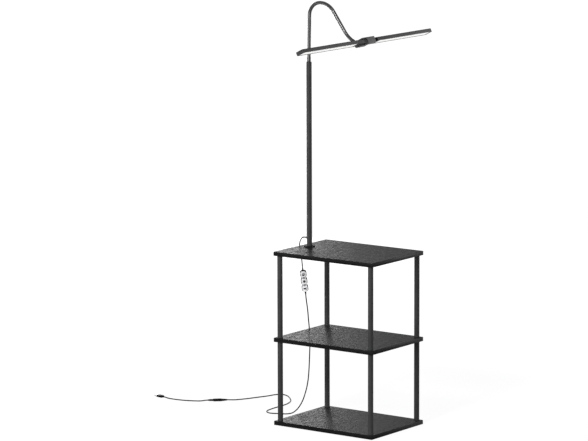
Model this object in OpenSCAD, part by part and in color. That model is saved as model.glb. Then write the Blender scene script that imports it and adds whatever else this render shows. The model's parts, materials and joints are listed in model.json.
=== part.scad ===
// Side-table floor lamp: three shelf boards on tube legs, a pole at one end, a gooseneck
// and a two-wing lamp head. Millimetres. The origin is on the floor, at the centre of the
// bottom board's underside. X runs along the long side, away from the pole, and Z is up.

/* [Table] */
// Length of each board, along X
board_w = 400; // [300:5:500]
// Depth of each board, along Y
board_d = 300; // [240:5:400]
// Thickness of each board
board_t = 14; // [12:1:20]
// Thickness of the edging glued round each board
edging_t = 0.8; // [0.5:0.1:1.5]
// Clear height between the middle and the top board
upper_bay_h = 278; // [200:1:360]
// Clear height between the bottom and the middle board
lower_bay_h = 270; // [200:1:360]
// Outer diameter of the leg tubes
leg_d = 18; // [15:0.5:22]
// Wall of the leg tubes
leg_wall = 1; // [0.8:0.1:1.5]
// Distance from a board's edges to the centre of a leg
leg_inset = 15.5; // [13:0.5:25]

/* [Pole] */
// Distance from the end of the top board to the centre of the pole
pole_inset = 40; // [34:1:60]
// Outer diameter of the pole
pole_d = 18; // [16:0.5:22]
// Wall of the pole
pole_wall = 1.2; // [1:0.1:1.6]
// Length of the pole tube
pole_h = 618; // [400:1:900]
// Diameter of the flange under the pole
flange_d = 38; // [30:1:50]
// Thickness of the flange under the pole
flange_t = 3; // [2:0.5:5]
// Height of the cord hole above the top board
cord_hole_h = 30; // [27:1:60]

/* [Gooseneck] */
// Outer diameter of the gooseneck
neck_d = 12; // [11:0.5:13]
// Diameter of the gooseneck's bore
neck_bore_d = 5; // [4:0.5:6]
// Direction in which the gooseneck leaves the pole, in degrees above the horizon
neck_start = 89; // [85:1:95]
// Length of the upright run above the pole
neck_rise = 154; // [120:1:200]
// Radius of the first part of the arch
arch_near_r = 45; // [40:1:60]
// Angle of the first part of the arch
arch_near_a = 85; // [70:1:90]
// Radius of the second part of the arch
arch_far_r = 64; // [50:1:80]
// Angle of the second part of the arch
arch_far_a = 58.5; // [45:0.5:70]
// Length of the sloping run down to the head
neck_fall = 78; // [60:1:110]
// Radius of the bend that levels out towards the head
level_r = 90; // [60:1:120]
// Angle of the bend that levels out towards the head
level_a = 19; // [5:1:30]
// Length of the last straight run, up to the head's tilt pin
neck_tail = 39; // [34:1:60]

/* [Lamp head] */
// Roll of the head about its length: how far its near side is raised, in degrees
head_roll = 27; // [0:1:40]
// Distance from the tilt pin to the centre of the hub
hub_arm_l = 34; // [32:1:45]
// Length of the hub, along the wings
hub_l = 70; // [66:1:80]
// Width of the hub
hub_w = 36; // [34:1:44]
// Thickness of the hub with its cover
hub_t = 21; // [20:0.5:24]
// Thickness of the hub's cover
cover_t = 3; // [2:0.5:3]
// Distance from the hub's centre to each wing's folding pin
fold_y = 17; // [15:0.5:20]
// Width of a wing
wing_w = 29; // [28:0.5:32]
// Thickness of a wing
wing_t = 13; // [11:0.5:13.5]
// Distance from the hub's centre to a wing's far end
wing_out_l = 367; // [250:1:450]
// Distance from the hub's centre to the inner end of a wing's housing
housing_start = 60; // [57:1:75]
// Wall of the wing housing
housing_wall = 1.3; // [1:0.1:1.8]
// Thickness of the diffuser
diffuser_t = 1.4; // [1:0.1:2]
// Pitch of the light-emitting chips
led_pitch = 12; // [8:1:20]

/* [Controller] */
// Width of each of the controller's three lobes
lobe_w = 22; // [21.5:0.5:26]
// Height of each lobe
lobe_h = 26; // [24:0.5:28]
// Distance from one lobe to the next
lobe_pitch = 25.5; // [22:0.5:26]
// Thickness of the controller
controller_t = 11; // [10:0.5:14]
// Wall of the controller's shells
shell_wall = 1.3; // [1:0.1:1.6]
// Diameter of a button
button_d = 12.4; // [10:0.2:13.2]
// How far a button can be pressed
button_travel = 0.7; // [0.4:0.1:1]

/* [Cord] */
// Diameter of the cord
cord_d = 4; // [3:0.1:4]
// Diameter of the in-line coupling
coupling_d = 10; // [8:0.5:12]
// Width of the plug at the cord's end
usb_w = 15; // [13:0.5:17]
// Thickness of the plug at the cord's end
usb_t = 7.6; // [6.5:0.1:9]

/* [Hidden] */
$fn = 48;
// Radial clearance of pieces that are pressed, glued or screwed together
fit = 0.05;
// Radial clearance of a pin that turns
run = 0.05;
// Gap between pieces that move past each other
gap = 0.3;
// A cut reaches this far past the face it opens
cut = 1;

black = [0.09, 0.09, 0.1];
board_black = [0.2, 0.2, 0.21];
grey = [0.32, 0.32, 0.33];
steel = [0.75, 0.75, 0.76];
white = [0.94, 0.94, 0.93];

// Heights of the table, from the floor up
middle_z = board_t + lower_bay_h;
upper_z = middle_z + board_t;
top_z = upper_z + upper_bay_h;
table_h = top_z + board_t;
core_w = board_w - 2 * edging_t;
core_d = board_d - 2 * edging_t;
leg_x = board_w / 2 - leg_inset;
leg_y = board_d / 2 - leg_inset;

// M6 leg fasteners
thread_r = 3;
stud_r = thread_r - fit;
plug_h = 12;
insert_h = 10;
insert_r = 4.5;
stud_reach = 10.5;
hole_r = 3.3;
screw_head_r = 5.6;
screw_head_h = 3.4;
screw_sink = 0.3;

// M8 pole fasteners
pole_x = -board_w / 2 + pole_inset;
pole_r = pole_d / 2;
pole_in_r = pole_r - pole_wall;
pole_z = table_h + flange_t;
pole_top = pole_z + pole_h;
pole_plug_h = 19;
pole_thread_r = 4;
washer_r = 12;
washer_t = 1.6;
nut_h = 6.5;
nut_flats = 13;
stud_proud = 4;

// Cord hole, grommet and lead
cord_r = cord_d / 2;
grommet_z = table_h + cord_hole_h;
grommet_r = cord_r + 1.5;
grommet_lip_r = cord_r + 2.6;
grommet_proud = 1.8;
grommet_x = pole_x - pole_r - grommet_proud;
lead_bend = 4.5;

// Pole bush and gooseneck foot
bush_lip = 3;
bush_h = 22;
stem_r = neck_d / 2 - 0.8;
foot_r = neck_d / 2 + 0.6;
foot_h = 16;
foot_floor = 2;
neck_r = neck_d / 2;

// The gooseneck's line in the XZ plane: straight runs [length] and bends [radius, angle],
// where a positive angle turns towards the floor
MOVES = [
    [neck_rise], [arch_near_r, arch_near_a], [arch_far_r, arch_far_a],
    [neck_fall], [level_r, -level_a], [neck_tail]
];
function move_length(m) = len(m) == 1 ? m[0] : m[0] * abs(m[1]) * PI / 180;
function move_turn(m) = len(m) == 1 ? 0 : m[1];
function start_length(i) = i == 0 ? 0 : start_length(i - 1) + move_length(MOVES[i - 1]);
function start_heading(i) =
    i == 0 ? neck_start : start_heading(i - 1) - move_turn(MOVES[i - 1]);
// Where a move ends, from its start [x, z] and heading, after a part t of it
function along(p, h, m, t) =
    len(m) == 1
    ? p + t * m[0] * [cos(h), sin(h)]
    : let (side = m[1] > 0 ? 1 : -1, c = p + side * m[0] * [sin(h), -cos(h)],
           g = h - t * m[1])
      c + side * m[0] * [-sin(g), cos(g)];
function start_point(i) =
    i == 0 ? [pole_x, pole_top + bush_lip + foot_floor]
    : along(start_point(i - 1), start_heading(i - 1), MOVES[i - 1], 1);
neck_length = start_length(len(MOVES));
function move_at(s, i = 0) =
    i == len(MOVES) - 1 || s < start_length(i + 1) ? i : move_at(s, i + 1);
function part_of(s) = let (i = move_at(s)) (s - start_length(i)) / move_length(MOVES[i]);
function neck_point(s) =
    let (i = move_at(s)) along(start_point(i), start_heading(i), MOVES[i], part_of(s));
function neck_heading(s) =
    let (i = move_at(s)) start_heading(i) - part_of(s) * move_turn(MOVES[i]);

// Four places where the gooseneck's flex is gathered into hinges
bend_at = [
    neck_rise / 2,
    start_length(1),
    start_length(2),
    start_length(3) + neck_fall / 2
];
// A bend is this much thinner than the run before it, and the thicker of two parts of the
// line laps this far over the thinner, so that they join into one solid
neck_slim = 0.02;
neck_lap = 0.5;
function slim(i) =
    len(MOVES[i]) == 1 ? 0 : i > 0 && len(MOVES[i - 1]) == 2 ? 2 * neck_slim : neck_slim;
function lap_before(i, s0) =
    i > 0 && s0 < start_length(i) - neck_lap && slim(i - 1) > slim(i) ? neck_lap : 0;
function lap_after(i, s1) =
    i < len(MOVES) - 1 && s1 > start_length(i + 1) + neck_lap && slim(i + 1) > slim(i)
    ? neck_lap : 0;
ball_r = neck_r - 0.1;
socket_r = neck_r + gap;
ferrule_h = 14;
ferrule_r = neck_r + 1;
ferrule_floor = 2;
tongue_l = 12;
tongue_w = 8;
tongue_r = 6.2;
pin_r = 2;
neck_stop = neck_length - tongue_l - ferrule_floor;

// Lamp head
tilt = neck_point(neck_length);
head_x = tilt[0] + hub_arm_l * cos(head_roll);
head_z = tilt[1] + hub_arm_l * sin(head_roll);
hub_top = hub_t / 2 - cover_t;
ear_t = 5;
ear_r = 6.2;
ear_in = tongue_w / 2 + 0.2;
ear_out = ear_in + ear_t;
tilt_head_r = 3.6;
tilt_head_t = 2.2;
tilt_nut_t = 3.2;
tilt_nut_flats = 7;
hub_round = 2.5;
lug_r = wing_t / 2;
fold_washer_t = 0.8;
fold_washer_r = 4.5;
lug_x = fold_washer_t + 0.2;
pocket_r = hub_top + 0.2;
fold_head_r = 3.4;
fold_head_t = 1.6;
fold_depth = 13;
// The wide part of a wing passes the hub's lower corner as it folds
neck_of_wing = fold_y + norm([hub_l / 2 - fold_y, hub_t / 2]) + 0.7;
taper_l = 13;
hub_rim_w = 4;
hub_floor_t = 3.5;
wire_bend_l = 9;
cavity_y = fold_y - pocket_r - 1.8;
cover_screw_r = 1.2;
cover_screw_head_r = 2.4;
cover_screw_sink = 2;
cover_screw_x = hub_w / 4;
cover_screw_y = hub_l / 2 - 7;
spigot_l = 9;
cap_l = 5;
cap_spigot_l = 7;
housing_end = wing_out_l - cap_l;
edge_r = 2;
strip_w = 20;
strip_t = 1.2;
ledge_w = 1.2;
ledge_t = 1;
led_w = 3.5;
led_l = 2.8;
led_t = 0.7;
wire_r = 1.5;
slot_in = wing_w / 2 - housing_wall;
slot_top = wing_t / 2 - housing_wall;
diffuser_recess = 1.2;
diffuser_z = -wing_t / 2 + diffuser_recess;
ledge_z = diffuser_z + diffuser_t + fit;
spigot_z = ledge_z + ledge_t + fit;

// Controller
controller_place = [-216, 46, 460];
controller_yaw = 36;
controller_lean = 11;
half_t = controller_t / 2;
lobe_r = 8;
waist_in = 2.2;
front_rim = 1.8;
button_r = button_d / 2;
button_flange_r = button_r + 1;
button_flange_t = 0.8;
button_proud = 1;
button_gap = 0.2;
button_stem_r = 1.5;
flange_gap = 0.1;
board_y = 0.6;
board_pcb_t = 1.6;
board_pcb_w = 9.6;
switch_w = 6;
switch_h = 2.4;
post_r = 1.5;
window_w = 7.5;
window_h = 4.8;
window_r = 0.8;
window_depth = 0.5;
relief_l = 8;
relief_r = 3;
controller_half = lobe_pitch + lobe_h / 2;

// The cord's route: from the pole to the controller, on to the floor and to the coupling,
// and from there to the plug
UPPER = [
    [-170.8, 0, 620], [-176, 0, 620], [-182, 0.5, 619.8], [-188, 1.5, 618.2],
    [-194, 3, 615], [-199.5, 5, 609.5], [-204, 7, 602.5], [-207.5, 9, 594],
    [-209.5, 12.5, 582], [-210.5, 17.5, 566], [-211.5, 23.5, 549], [-213.5, 30, 531],
    [-215.5, 35.2, 515], [-216, 37.2, 505.7]
];
LOWER = [
    [-216, 54.8, 414.3], [-217, 58.5, 398], [-217, 67, 358], [-215, 69, 325],
    [-212, 70, 290], [-210, 70, 250], [-210, 68, 200], [-210, 64, 150],
    [-211, 61, 120], [-214, 57, 92], [-219, 53, 68], [-225, 49, 47], [-233, 43, 28],
    [-242, 35, 13], [-250, 24, 4.5], [-257, 15, 2.2], [-265, 4, 2.05], [-278, -3, 2.05],
    [-293, -8, 2.05], [-306, -14, 2.05], [-318, -16, 2.05], [-330, -11, 2.05],
    [-341, -1, 2.05], [-348, 15, 2.05], [-352, 45, 2.05], [-353, 75, 2.05],
    [-353, 110, 2.05], [-358, 145, 2.05], [-374, 182, 2.05], [-393, 206, 2.05],
    [-412, 226, 2.05], [-432, 243, 2.05], [-452, 252, 2.05], [-470, 249, 2.05],
    [-481, 232, 2.05], [-487, 208, 2.05], [-504, 165, 2.05], [-527, 112, 2.05],
    [-542, 82, 3], [-556.8, 60.8, 5.1]
];
TAIL = [
    [-607.2, 17.6, 5.1], [-614, 11.8, 4.7], [-626, 3, 2.6], [-642, -6, 2.05],
    [-662, -15, 2.05], [-684, -22, 2.05], [-708, -26, 2.05], [-732, -27, 2.05],
    [-750, -26.3, 2.5], [-760, -24.9, 3.7], [-768, -23.5, 3.9]
];

coupling_place = [-582, 39.2, coupling_d / 2 + 0.1];
coupling_turn = 220.6;
coupling_half = 33;
coupling_neck = 20;
coupling_taper = 6;
coupling_split = 15;
coupling_end_r = cord_r + 0.7;
coupling_plug_r = coupling_d / 2 - 1.5;
usb_turn = 170;
usb_place = [-768, -23.5, usb_t / 2 + 0.1];
usb_body_l = 24;
usb_relief_l = 8;
usb_round = 2.2;
usb_shell_l = 12;
usb_shell_w = 12;
usb_shell_t = 4.5;
usb_shell_wall = 0.3;

// Rings of a tube swept along points: each ring's frame is carried over from the last
function unit(v) = v / norm(v);
function direction(pts, i) =
    unit(pts[min(i + 1, len(pts) - 1)] - pts[max(i - 1, 0)]);
function carried(pts, i) =
    let (t = direction(pts, i), u = i == 0 ? [0, 0.7, 0.7] : carried(pts, i - 1))
    unit(u - (u * t) * t);
function ring(pts, i, r, n) =
    let (t = direction(pts, i), u = carried(pts, i), v = cross(t, u))
    [for (k = [0:n - 1]) pts[i] + r * (cos(360 * k / n) * u + sin(360 * k / n) * v)];
module swept(pts, r, n = 8) {
    m = len(pts);
    points = [for (i = [0:m - 1]) each ring(pts, i, r, n)];
    sides = [
        for (i = [0:m - 2], k = [0:n - 1])
            [i * n + k, (i + 1) * n + k, (i + 1) * n + (k + 1) % n, i * n + (k + 1) % n]
    ];
    start = [for (k = [0:n - 1]) k];
    finish = [for (k = [n - 1:-1:0]) (m - 1) * n + k];
    polyhedron(points, concat([start], sides, [finish]));
}

// Table
module board(z) {
    translate([-core_w / 2, -core_d / 2, z])
        cube([core_w, core_d, board_t]);
}
module board_edging() {
    color(black)
        for (z = [0, middle_z, top_z])
            difference() {
                translate([-board_w / 2, -board_d / 2, z])
                    cube([board_w, board_d, board_t]);
                translate([-core_w / 2, -core_d / 2, z - cut])
                    cube([core_w, core_d, board_t + 2 * cut]);
            }
}
module at_legs() {
    for (sx = [-1, 1], sy = [-1, 1])
        translate([sx * leg_x, sy * leg_y, 0]) children();
}
module bottom_board() {
    color(board_black)
        difference() {
            board(0);
            at_legs() {
                translate([0, 0, -cut]) cylinder(r = hole_r, h = board_t + 2 * cut);
                translate([0, 0, -cut]) cylinder(r = screw_head_r, h = cut + screw_sink);
                translate([0, 0, screw_sink - 0.01])
                    cylinder(r1 = screw_head_r, r2 = hole_r, h = screw_head_h);
            }
        }
}
module middle_board() {
    color(board_black)
        difference() {
            board(middle_z);
            at_legs()
                translate([0, 0, middle_z - cut])
                    cylinder(r = hole_r, h = board_t + 2 * cut);
        }
}
module top_board() {
    color(board_black)
        difference() {
            board(top_z);
            at_legs()
                translate([0, 0, top_z - cut]) cylinder(r = insert_r, h = insert_h + cut);
            translate([pole_x, 0, top_z - cut])
                cylinder(r = pole_thread_r + gap, h = board_t + 2 * cut);
        }
}
module leg(sx, sy, z, h) {
    color(black)
        translate([sx * leg_x, sy * leg_y, z])
            difference() {
                cylinder(d = leg_d, h = h);
                translate([0, 0, -cut]) cylinder(r = leg_d / 2 - leg_wall, h = h + 2 * cut);
            }
}
module leg_plugs() {
    color(steel)
        for (z = [board_t, middle_z - plug_h, upper_z, top_z - plug_h])
            at_legs()
                translate([0, 0, z])
                    difference() {
                        cylinder(r = leg_d / 2 - leg_wall - fit, h = plug_h);
                        translate([0, 0, -cut]) cylinder(r = thread_r, h = plug_h + 2 * cut);
                    }
}
module top_inserts() {
    color(steel)
        at_legs()
            translate([0, 0, top_z])
                difference() {
                    cylinder(r = insert_r - fit, h = insert_h);
                    translate([0, 0, -cut]) cylinder(r = thread_r, h = insert_h + 2 * cut);
                }
}
module leg_studs() {
    color(steel)
        at_legs() {
            translate([0, 0, middle_z - stud_reach])
                cylinder(r = stud_r, h = board_t + 2 * stud_reach);
            translate([0, 0, top_z - stud_reach])
                cylinder(r = stud_r, h = stud_reach + insert_h);
        }
}
module bottom_screws() {
    color(steel)
        at_legs() {
            translate([0, 0, screw_sink])
                cylinder(r1 = screw_head_r - fit, r2 = stud_r, h = screw_head_h - fit);
            translate([0, 0, screw_sink + screw_head_h / 2])
                cylinder(r = stud_r, h = board_t + stud_reach - screw_head_h / 2);
        }
}

// Pole
module pole_flange() {
    color(black)
        translate([pole_x, 0, table_h])
            difference() {
                cylinder(d = flange_d, h = flange_t);
                translate([0, 0, -cut])
                    cylinder(r = pole_thread_r + gap, h = flange_t + 2 * cut);
            }
}
module cord_hole(r) {
    translate([pole_x, 0, grommet_z]) rotate([0, -90, 0]) cylinder(r = r, h = pole_d);
}
module pole_tube() {
    color(black)
        difference() {
            translate([pole_x, 0, pole_z]) cylinder(r = pole_r, h = pole_h);
            translate([pole_x, 0, pole_z - cut]) cylinder(r = pole_in_r, h = pole_h + 2 * cut);
            cord_hole(grommet_r + fit);
        }
}
module pole_plug() {
    color(steel)
        translate([pole_x, 0, pole_z])
            difference() {
                cylinder(r = pole_in_r - fit, h = pole_plug_h);
                translate([0, 0, -cut])
                    cylinder(r = pole_thread_r, h = pole_plug_h + 2 * cut);
            }
}
module pole_stud() {
    bottom = top_z - washer_t - nut_h - stud_proud;
    color(steel)
        translate([pole_x, 0, bottom])
            cylinder(r = pole_thread_r - fit, h = pole_z + pole_plug_h - 2 - bottom);
}
module pole_washer() {
    color(steel)
        translate([pole_x, 0, top_z - washer_t])
            difference() {
                cylinder(r = washer_r, h = washer_t);
                translate([0, 0, -cut])
                    cylinder(r = pole_thread_r + gap, h = washer_t + 2 * cut);
            }
}
module pole_nut() {
    color(steel)
        translate([pole_x, 0, top_z - washer_t - nut_h])
            difference() {
                cylinder(r = nut_flats / 2 / cos(30), h = nut_h, $fn = 6);
                translate([0, 0, -cut]) cylinder(r = pole_thread_r, h = nut_h + 2 * cut);
            }
}
module cord_grommet() {
    lip_x = pole_x - pole_r + 1;
    color(black)
        difference() {
            union() {
                translate([grommet_x, 0, grommet_z]) rotate([0, 90, 0])
                    cylinder(r = grommet_lip_r, h = lip_x - grommet_x);
                translate([grommet_x, 0, grommet_z]) rotate([0, 90, 0])
                    cylinder(r = grommet_r, h = grommet_proud + pole_wall + 1);
            }
            difference() {
                translate([pole_x, 0, grommet_z - grommet_lip_r - cut])
                    cylinder(r = pole_r + fit, h = 2 * (grommet_lip_r + cut));
                cord_hole(grommet_r);
            }
            translate([grommet_x - cut, 0, grommet_z]) rotate([0, 90, 0])
                cylinder(r = cord_r + fit, h = pole_r);
        }
}
module inner_lead() {
    color(black)
        translate([pole_x, 0, 0]) {
            translate([0, 0, grommet_z + lead_bend])
                cylinder(r = cord_r, h = pole_top - bush_h - 6 - grommet_z - lead_bend);
            translate([-lead_bend, 0, grommet_z + lead_bend]) rotate([90, 0, 0])
                rotate([0, 0, -90])
                    rotate_extrude(angle = 90) translate([lead_bend, 0]) circle(r = cord_r);
            translate([grommet_x - pole_x, 0, grommet_z]) rotate([0, 90, 0])
                cylinder(r = cord_r, h = -lead_bend - (grommet_x - pole_x));
        }
}
module pole_bush() {
    color(black)
        translate([pole_x, 0, pole_top])
            difference() {
                union() {
                    translate([0, 0, -bush_h]) cylinder(r = pole_in_r - fit, h = bush_h);
                    cylinder(r = pole_r, h = bush_lip);
                }
                translate([0, 0, -bush_h - cut])
                    cylinder(r = stem_r + run, h = bush_h + bush_lip + 2 * cut);
            }
}

// Gooseneck
module at_line(p, heading) {
    translate([p[0], 0, p[1]]) rotate([0, 90 - heading, 0]) children();
}
module at_neck(s) {
    at_line(neck_point(s), neck_heading(s)) children();
}
// The part of the line from s0 to s1, as a rod of radius r
module neck_run(s0, s1, r) {
    for (i = [0:len(MOVES) - 1]) {
        m = MOVES[i];
        whole = move_length(m);
        t0 = max(0, (s0 - start_length(i)) / whole);
        t1 = min(1, (s1 - start_length(i)) / whole);
        before = lap_before(i, s0);
        after = lap_after(i, s1);
        thick = r - slim(i);
        if ((t1 - t0) * whole > 0.001)
            at_line(along(start_point(i), start_heading(i), m, t0),
                    start_heading(i) - t0 * move_turn(m))
                if (len(m) == 1)
                    translate([0, 0, -before])
                        cylinder(r = thick, h = (t1 - t0) * whole + before + after);
                else
                    neck_bend(m[0], (t1 - t0) * m[1] + sign(m[1]) * after / m[0] * 180 / PI, thick);
    }
}
module neck_bend(radius, angle, r) {
    a = abs(angle);
    mirror([angle > 0 ? 0 : 1, 0, 0])
        translate([radius, 0, 0]) rotate([90, 0, 0]) rotate([0, 0, 180 - a])
            rotate_extrude(angle = a) translate([radius, 0]) circle(r = r);
}
// One rigid stretch: it ends in a ball, and starts in a socket where the last one's ball sits
module neck_link(s0, s1, ball, socket) {
    color(grey)
        difference() {
            union() {
                neck_run(s0, s1, neck_r);
                if (ball) at_neck(s1) sphere(r = ball_r);
            }
            if (socket) at_neck(s0) sphere(r = socket_r);
            neck_run(max(0, s0 - 2 * neck_r), min(neck_length, s1 + 2 * neck_r), neck_bore_d / 2);
        }
}
module neck_foot() {
    color(black)
        translate([pole_x, 0, pole_top + bush_lip])
            difference() {
                union() {
                    translate([0, 0, -bush_h - bush_lip])
                        cylinder(r = stem_r, h = bush_h + bush_lip + 1);
                    cylinder(r = foot_r, h = foot_h);
                }
                translate([0, 0, foot_floor - 0.1]) cylinder(r = neck_r + gap, h = foot_h);
                translate([0, 0, -bush_h - bush_lip - cut])
                    cylinder(d = neck_bore_d, h = bush_h + bush_lip + foot_h);
            }
}
module neck_ferrule() {
    color(black)
        at_neck(neck_length)
            difference() {
                union() {
                    translate([0, 0, -tongue_l - ferrule_h - ferrule_floor])
                        cylinder(r = ferrule_r, h = ferrule_h + ferrule_floor);
                    translate([-tongue_r, -tongue_w / 2, -tongue_l - 1])
                        cube([2 * tongue_r, tongue_w, tongue_l + 1]);
                    translate([0, tongue_w / 2, 0]) rotate([90, 0, 0])
                        cylinder(r = tongue_r, h = tongue_w);
                }
                translate([0, 0, -tongue_l - ferrule_h - ferrule_floor - cut])
                    cylinder(r = neck_r + fit, h = ferrule_h + cut);
                translate([0, tongue_w / 2 + cut, 0]) rotate([90, 0, 0])
                    cylinder(r = pin_r + run, h = tongue_w + 2 * cut);
            }
}

// Lamp head, drawn about its centre: X is across the wings, away from the pole, Y is along
// the wings, and Z is up out of the cover. The right-hand pieces are the left-hand ones
// turned half round about Z.
module at_head() {
    translate([head_x, 0, head_z]) rotate([0, -head_roll, 0]) children();
}
module on_side(side) {
    at_head() rotate([0, 0, side == "left" ? 0 : 180]) children();
}
module rounded(x, y, r) {
    square([x - 2 * r, y], center = true);
    square([x, y - 2 * r], center = true);
    for (sx = [-1, 1], sy = [-1, 1])
        translate([sx * (x / 2 - r), sy * (y / 2 - r)]) circle(r = r);
}
module at_fold_pin() {
    translate([0, -fold_y, 0]) rotate([0, 90, 0]) children();
}
module at_cover_screws() {
    for (a = [0, 180])
        rotate([0, 0, a]) translate([-cover_screw_x, -cover_screw_y, 0]) children();
}
module fold_pocket() {
    y = hub_l / 2 + cut;
    translate([0, -y, -hub_t / 2 - cut])
        cube([hub_w / 2 + cut, y - fold_y + pocket_r, hub_t / 2 + cut]);
    translate([0, -y, -0.1]) cube([hub_w / 2 + cut, y - fold_y, hub_t]);
    at_fold_pin() cylinder(r = pocket_r, h = hub_w / 2 + cut);
}
module hub_ear(y) {
    translate([0, y + ear_t, 0]) rotate([90, 0, 0])
        linear_extrude(ear_t) {
            translate([-hub_arm_l, 0]) circle(r = ear_r);
            translate([-hub_arm_l, -ear_r]) square([hub_arm_l - hub_w / 2 + 1, 2 * ear_r]);
        }
}
module hub_body() {
    color(grey)
        at_head()
            difference() {
                union() {
                    translate([0, 0, -hub_t / 2])
                        linear_extrude(hub_t - cover_t) rounded(hub_w, hub_l, hub_round);
                    hub_ear(ear_in);
                    hub_ear(-ear_out);
                }
                for (a = [0, 180])
                    rotate([0, 0, a]) {
                        fold_pocket();
                        at_fold_pin() translate([0, 0, -fold_depth - 0.2])
                            cylinder(r = pin_r + fit, h = fold_depth + cut);
                    }
                translate([-hub_w / 2 + hub_rim_w, -cavity_y, -hub_t / 2 + hub_floor_t])
                    cube([hub_w - 2 * hub_rim_w, 2 * cavity_y, hub_t]);
                translate([-hub_w / 2 - cut, 0, 0]) rotate([0, 90, 0])
                    cylinder(r = wire_r, h = 6 + cut);
                translate([-hub_arm_l, ear_out + cut, 0]) rotate([90, 0, 0])
                    cylinder(r = pin_r + run, h = 2 * (ear_out + cut));
                at_cover_screws() {
                    translate([0, 0, -hub_t / 2 - cut])
                        cylinder(r = cover_screw_head_r + 0.1, h = cover_screw_sink + cut);
                    translate([0, 0, -hub_t / 2])
                        cylinder(r = cover_screw_r + fit, h = hub_t);
                }
            }
}
module hub_cover() {
    color(black)
        at_head()
            difference() {
                translate([0, 0, hub_top])
                    linear_extrude(cover_t) rounded(hub_w, hub_l, hub_round);
                at_cover_screws()
                    translate([0, 0, hub_top - cut])
                        cylinder(r = cover_screw_r + fit, h = cut + cover_t - 0.8);
            }
}
module hub_screws() {
    color(steel)
        at_head()
            at_cover_screws() {
                seat = -hub_t / 2 + cover_screw_sink;
                translate([0, 0, seat - 1.6]) cylinder(r = cover_screw_head_r, h = 1.6);
                translate([0, 0, seat - 0.5])
                    cylinder(r = cover_screw_r, h = hub_top + cover_t - 1 - seat + 0.5);
            }
}
module tilt_screw() {
    color(steel)
        at_head()
            translate([-hub_arm_l, ear_out + tilt_nut_t + 0.6, 0]) rotate([90, 0, 0]) {
                cylinder(r = pin_r, h = 2 * ear_out + tilt_nut_t + 0.7);
                translate([0, 0, 2 * ear_out + tilt_nut_t + 0.6])
                    cylinder(r = tilt_head_r, h = tilt_head_t);
            }
}
module tilt_nut() {
    color(steel)
        at_head()
            translate([-hub_arm_l, ear_out + tilt_nut_t, 0]) rotate([90, 0, 0])
                difference() {
                    cylinder(r = tilt_nut_flats / 2 / cos(30), h = tilt_nut_t, $fn = 6);
                    translate([0, 0, -cut]) cylinder(r = pin_r + fit, h = tilt_nut_t + 2 * cut);
                }
}
module fold_screws() {
    color(steel)
        for (side = ["left", "right"])
            on_side(side)
                at_fold_pin() {
                    translate([0, 0, -fold_depth]) cylinder(r = pin_r, h = fold_depth + wing_w / 2 + 0.2);
                    translate([0, 0, wing_w / 2 + 0.1]) cylinder(r = fold_head_r, h = fold_head_t);
                }
}
module fold_washers() {
    color(steel)
        for (side = ["left", "right"])
            on_side(side)
                at_fold_pin()
                    difference() {
                        cylinder(r = fold_washer_r, h = fold_washer_t);
                        translate([0, 0, -cut]) cylinder(r = pin_r + run, h = fold_washer_t + 2 * cut);
                    }
}

// Wing pieces, drawn on the left
module along_wing(from, to) {
    translate([0, -from, 0]) rotate([90, 0, 0]) linear_extrude(to - from) children();
}
module wing_outline() {
    translate([-wing_w / 2, -wing_t / 2]) square([wing_w, wing_t - edge_r]);
    translate([-wing_w / 2 + edge_r, 0]) square([wing_w - 2 * edge_r, wing_t / 2]);
    for (sx = [-1, 1])
        translate([sx * (wing_w / 2 - edge_r), wing_t / 2 - edge_r]) circle(r = edge_r);
}
module spigot_outline() {
    w = slot_in - fit;
    translate([-w, spigot_z]) square([2 * w, slot_top - fit - spigot_z]);
}
module wing_hinge(side) {
    wide = wing_w / 2;
    color(black)
        on_side(side)
            difference() {
                union() {
                    intersection() {
                        along_wing(fold_y - wing_t, housing_start) wing_outline();
                        union() {
                            translate([0, 0, -wing_t])
                                linear_extrude(2 * wing_t)
                                    polygon([
                                        [lug_x, -fold_y], [wide, -fold_y],
                                        [wide, -housing_start - cut],
                                        [-wide, -housing_start - cut],
                                        [-wide, -neck_of_wing - taper_l],
                                        [-wide / 2, -neck_of_wing], [lug_x, -neck_of_wing]
                                    ]);
                            at_fold_pin()
                                translate([0, 0, lug_x]) cylinder(r = lug_r, h = wide - lug_x);
                        }
                    }
                    along_wing(housing_start - cut, housing_start + spigot_l) spigot_outline();
                }
                at_fold_pin() translate([0, 0, -cut]) cylinder(r = pin_r + run, h = wing_w);
                along_wing(fold_y + wire_bend_l, housing_start + spigot_l + cut)
                    translate([wide / 2, 0]) circle(r = wire_r);
                translate([wide / 2, -fold_y - wire_bend_l, 0]) cylinder(r = wire_r, h = wing_t);
            }
}
module wing_housing(side) {
    color(grey)
        on_side(side)
            along_wing(housing_start, housing_end) {
                difference() {
                    wing_outline();
                    translate([-slot_in, -wing_t / 2 - cut])
                        square([2 * slot_in, slot_top + wing_t / 2 + cut]);
                }
                for (x = [-slot_in - 0.1, slot_in - ledge_w])
                    translate([x, ledge_z]) square([ledge_w + 0.1, ledge_t]);
            }
}
module wing_strip(side) {
    from = housing_start + spigot_l + 1;
    to = housing_end - cap_spigot_l - 1;
    count = floor((to - from) / led_pitch);
    first = (from + to - (count - 1) * led_pitch) / 2;
    color(white)
        on_side(side) {
            along_wing(from, to)
                translate([-strip_w / 2, slot_top - strip_t]) square([strip_w, strip_t]);
            for (i = [0:count - 1])
                translate([-led_w / 2, -first - i * led_pitch - led_l / 2, slot_top - strip_t - led_t])
                    cube([led_w, led_l, led_t + 0.1]);
        }
}
module wing_diffuser(side) {
    w = slot_in - fit;
    color(white)
        on_side(side)
            along_wing(housing_start + fit, housing_end - fit)
                translate([-w, diffuser_z]) square([2 * w, diffuser_t]);
}
module wing_end_cap(side) {
    color(black)
        on_side(side) {
            along_wing(housing_end, wing_out_l) wing_outline();
            along_wing(housing_end - cap_spigot_l, housing_end + cut) spigot_outline();
        }
}

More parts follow.
